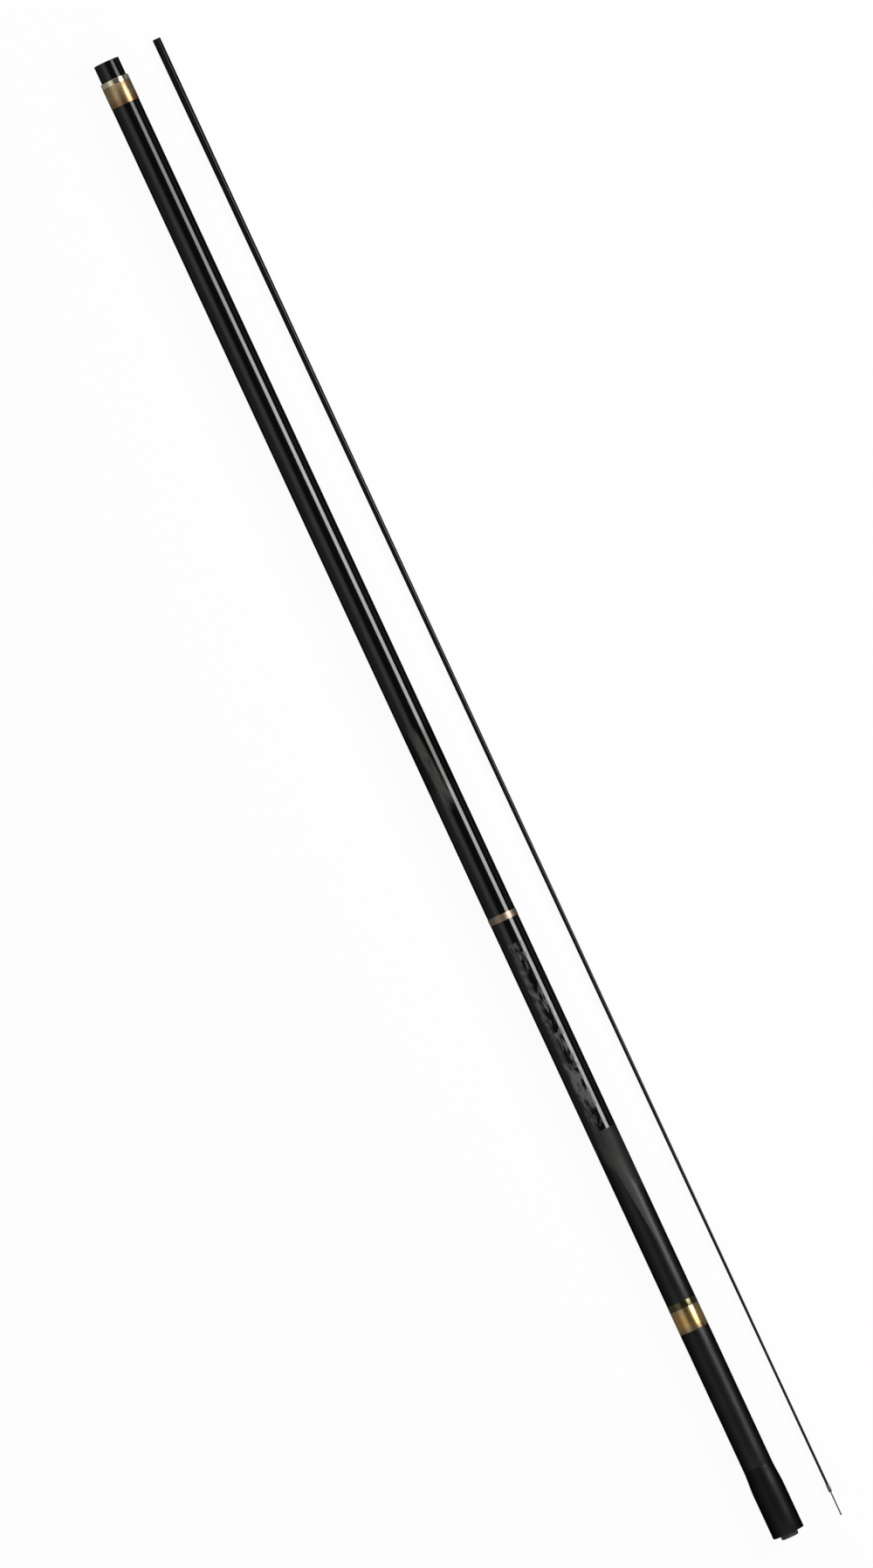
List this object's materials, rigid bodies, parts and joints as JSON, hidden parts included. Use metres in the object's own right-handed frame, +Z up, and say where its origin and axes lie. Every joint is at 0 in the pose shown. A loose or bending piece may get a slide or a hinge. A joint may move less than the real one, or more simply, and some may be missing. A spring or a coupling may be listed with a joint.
{
  "type": "ayu rod",
  "caption": "Closed telescopic ayu pole: nested tapered carbon tubes, gold bands, black grip with a flared collar and screw cap, and a spare tip section lying beside it.",
  "frame": {"origin": "on the floor, below the middle of the closed rod and the spare tip taken together", "axes": "+X along the rod from the screw cap to the mouth, +Y from the spare tip to the rod, +Z up"},
  "size_m": [1.3738, 0.0642, 0.0282],
  "materials": {
    "black_lacquer": "gloss",
    "grip_black": "satin",
    "gold": "polished",
    "pale_gold": "polished",
    "cap_black": "satin",
    "rubber": "matte",
    "foam": "matte",
    "steel": "satin"
  },
  "bodies": {
    "butt": {"butt_section": "black_lacquer", "mouth_ring": "pale_gold", "mouth_band": "gold", "mid_ring": "gold", "grip_trim_ring": "pale_gold", "grip_band": "gold", "grip_sleeve": "grip_black", "butt_collar": "grip_black"},
    "cap_carriage": {"cap_seal_ring": "rubber"},
    "cap": {"butt_cap": "cap_black", "cushion_pad": "foam"},
    "section_7": {"section_7": "black_lacquer"},
    "section_6": {"section_6": "black_lacquer"},
    "section_5": {"section_5": "black_lacquer"},
    "section_4": {"section_4": "black_lacquer"},
    "section_3": {"section_3": "black_lacquer"},
    "section_2": {"section_2": "black_lacquer"},
    "tip": {"tip_section": "black_lacquer", "tip_line_sleeve": "steel"},
    "tip_pin": {"tip_line_pin": "steel"},
    "spare_tip": {"spare_tip_section": "black_lacquer", "spare_line_sleeve": "steel"},
    "spare_pin": {"spare_line_pin": "steel"}
  },
  "joints": [
    {"name": "section_7_draw", "type": "slide", "parent": "butt", "child": "section_7", "axis": [1, 0, 0], "range_m": [0, 1.1262]},
    {"name": "section_6_draw", "type": "slide", "parent": "section_7", "child": "section_6", "axis": [1, 0, 0], "range_m": [0, 1.15325]},
    {"name": "section_5_draw", "type": "slide", "parent": "section_6", "child": "section_5", "axis": [1, 0, 0], "range_m": [0, 1.15825]},
    {"name": "section_4_draw", "type": "slide", "parent": "section_5", "child": "section_4", "axis": [1, 0, 0], "range_m": [0, 1.16825]},
    {"name": "section_3_draw", "type": "slide", "parent": "section_4", "child": "section_3", "axis": [1, 0, 0], "range_m": [0, 1.17825]},
    {"name": "section_2_draw", "type": "slide", "parent": "section_3", "child": "section_2", "axis": [1, 0, 0], "range_m": [0, 1.18825]},
    {"name": "tip_draw", "type": "slide", "parent": "section_2", "child": "tip", "axis": [1, 0, 0], "range_m": [0, 1.20225]},
    {"name": "cap_travel", "type": "slide", "parent": "butt", "child": "cap_carriage", "axis": [-1, 0, 0], "range_m": [0, 0.0105]},
    {"name": "cap_turn", "type": "hinge", "parent": "cap_carriage", "child": "cap", "pos_m": [-0.679, 0.01806, 0.01408], "axis": [-1, 0, 0], "range_deg": [0, 2520]},
    {"name": "tip_pin_turn", "type": "hinge", "parent": "tip", "child": "tip_pin", "pos_m": [0.64, 0.01806, 0.01408], "axis": [1, 0, 0], "continuous": true},
    {"name": "spare_tip_lift", "type": "slide", "parent": "butt", "child": "spare_tip", "axis": [0, 0, 1], "range_m": [0, 0.15]},
    {"name": "spare_pin_turn", "type": "hinge", "parent": "spare_tip", "child": "spare_pin", "pos_m": [-0.67, -0.02864, 0.0035], "axis": [-1, 0, 0], "continuous": true}
  ],
  "couplings": [
    {"joint": "cap_travel", "follows": "cap_turn", "m_per_rad": 0.00023873}
  ]
}
